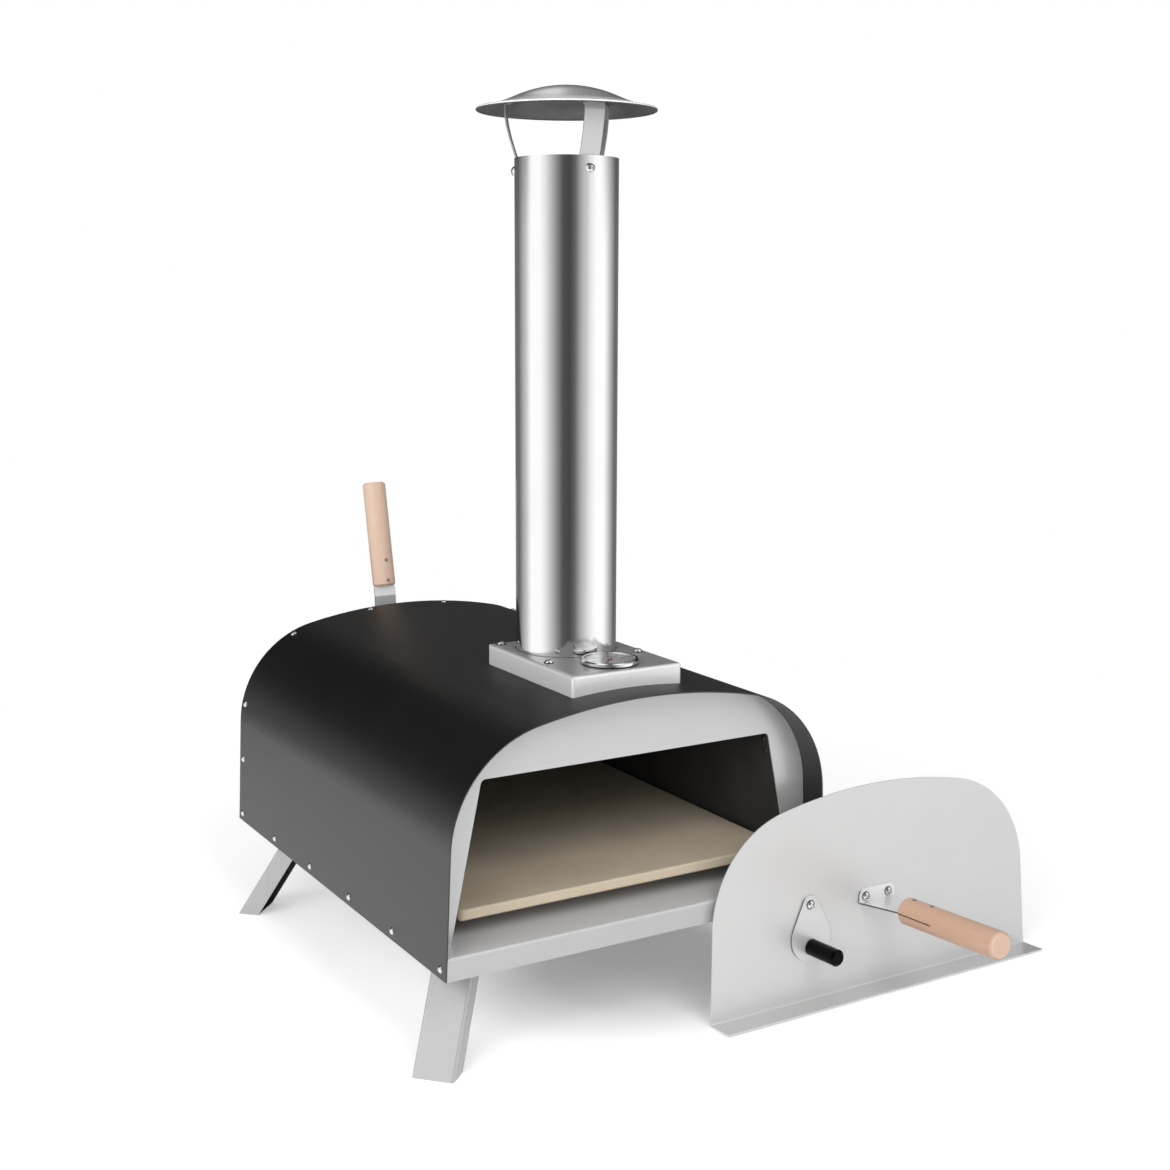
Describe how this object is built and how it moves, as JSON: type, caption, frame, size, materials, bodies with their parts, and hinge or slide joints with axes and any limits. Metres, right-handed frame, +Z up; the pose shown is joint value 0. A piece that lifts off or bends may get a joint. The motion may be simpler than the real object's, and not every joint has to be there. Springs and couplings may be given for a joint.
{
  "type": "wood fired pizza oven",
  "caption": "Arched table-top oven with a flue and rain cap, a loose stone, a lift-off door with a peephole, a rear fuel hopper and burner tray, and folding legs.",
  "frame": {"origin": "on the floor under the middle of the oven's shell", "axes": "+X to the right as seen from the mouth, -Y out of the mouth, +Z up"},
  "size_m": [0.6705, 0.7783, 0.8417],
  "materials": {
    "black_enamel": "satin",
    "brushed_steel": "brushed",
    "sooty_steel": "matt",
    "ceramic_wool": "matt",
    "galvanised_steel": "satin",
    "cordierite": "matt",
    "bright_steel": "polished",
    "blackened_steel": "matt",
    "polished_steel": "polished",
    "dial_white": "matt",
    "needle_red": "satin",
    "clear_glass": "clear",
    "beech": "satin",
    "black_plastic": "gloss"
  },
  "bodies": {
    "oven": {"outer_shell": "black_enamel", "base_tray": "brushed_steel", "front_face": "brushed_steel", "rear_panel": "black_enamel", "inner_liner": "sooty_steel", "insulation_blanket": "ceramic_wool", "stone_rails": "galvanised_steel", "flame_guard": "galvanised_steel", "side_rivets": "bright_steel", "rear_rivets": "bright_steel", "liner_screws": "blackened_steel", "flue_base": "brushed_steel", "flue_collar": "brushed_steel", "flue_pipe": "polished_steel", "flue_screws": "bright_steel", "flue_nuts": "galvanised_steel", "cap_legs": "brushed_steel", "rain_cap": "polished_steel", "cap_screws": "bright_steel", "thermometer_case": "bright_steel", "thermometer_dial": "dial_white", "thermometer_glass": "clear_glass", "thermometer_nut": "galvanised_steel", "leg_brackets": "galvanised_steel", "leg_pins": "bright_steel", "fuel_hopper": "black_enamel", "hopper_screws": "bright_steel", "lid_hinge_pin": "bright_steel", "tray_guides": "galvanised_steel"},
    "pizza_stone": {"pizza_stone": "cordierite"},
    "thermometer_needle": {"thermometer_needle": "needle_red"},
    "front_left_leg": {"leg_front_left": "brushed_steel"},
    "front_right_leg": {"leg_front_right": "brushed_steel"},
    "rear_left_leg": {"leg_rear_left": "brushed_steel"},
    "rear_right_leg": {"leg_rear_right": "brushed_steel"},
    "door": {"door_panel": "brushed_steel", "door_handle_bracket": "brushed_steel", "door_handle_grip": "beech", "door_handle_pins": "bright_steel", "door_screws": "bright_steel", "peephole_pivot_screw": "bright_steel"},
    "peephole_cover": {"peephole_cover": "brushed_steel", "peephole_knob": "black_plastic"},
    "hopper_lid": {"hopper_lid": "black_enamel", "lid_handle_strip": "brushed_steel", "lid_handle_grip": "beech", "lid_handle_pins": "bright_steel", "lid_rivets": "bright_steel"},
    "burner_tray": {"burner_tray": "brushed_steel", "burner_grate": "blackened_steel", "burner_pull": "bright_steel"}
  },
  "joints": [
    {"name": "stone_slide", "type": "slide", "parent": "oven", "child": "pizza_stone", "axis": [0, -1, 0], "range_m": [0, 0.025]},
    {"name": "needle_turn", "type": "hinge", "parent": "oven", "child": "thermometer_needle", "pos_m": [0, -0.1879, 0.3341], "axis": [0, 0, -1], "range_deg": [0, 270]},
    {"name": "front_left_leg_fold", "type": "hinge", "parent": "oven", "child": "front_left_leg", "pos_m": [-0.148, -0.1817, 0.103], "axis": [0.6845, -0.729, 0], "range_deg": [0, 122]},
    {"name": "front_right_leg_fold", "type": "hinge", "parent": "oven", "child": "front_right_leg", "pos_m": [0.148, -0.1817, 0.103], "axis": [0.6845, 0.729, 0], "range_deg": [0, 122]},
    {"name": "rear_left_leg_fold", "type": "hinge", "parent": "oven", "child": "rear_left_leg", "pos_m": [-0.148, 0.1817, 0.103], "axis": [-0.6845, -0.729, 0], "range_deg": [0, 122]},
    {"name": "rear_right_leg_fold", "type": "hinge", "parent": "oven", "child": "rear_right_leg", "pos_m": [0.148, 0.1817, 0.103], "axis": [-0.6845, 0.729, 0], "range_deg": [0, 122]},
    {"name": "door_place", "type": "slide", "parent": "oven", "child": "door", "axis": [-0.9109, -0.0282, 0.4117], "range_m": [0, 0.2832]},
    {"name": "peephole_cover_swing", "type": "hinge", "parent": "door", "child": "peephole_cover", "pos_m": [0.1765, -0.2632, 0.0939], "axis": [0, -0.998, 0.0628], "range_deg": [-100, 100]},
    {"name": "hopper_lid_hinge", "type": "hinge", "parent": "oven", "child": "hopper_lid", "pos_m": [0, 0.3435, 0.284], "axis": [-1, 0, 0], "range_deg": [0, 95]},
    {"name": "burner_tray_slide", "type": "slide", "parent": "oven", "child": "burner_tray", "axis": [0, 1, 0], "range_m": [0, 0.115]}
  ]
}
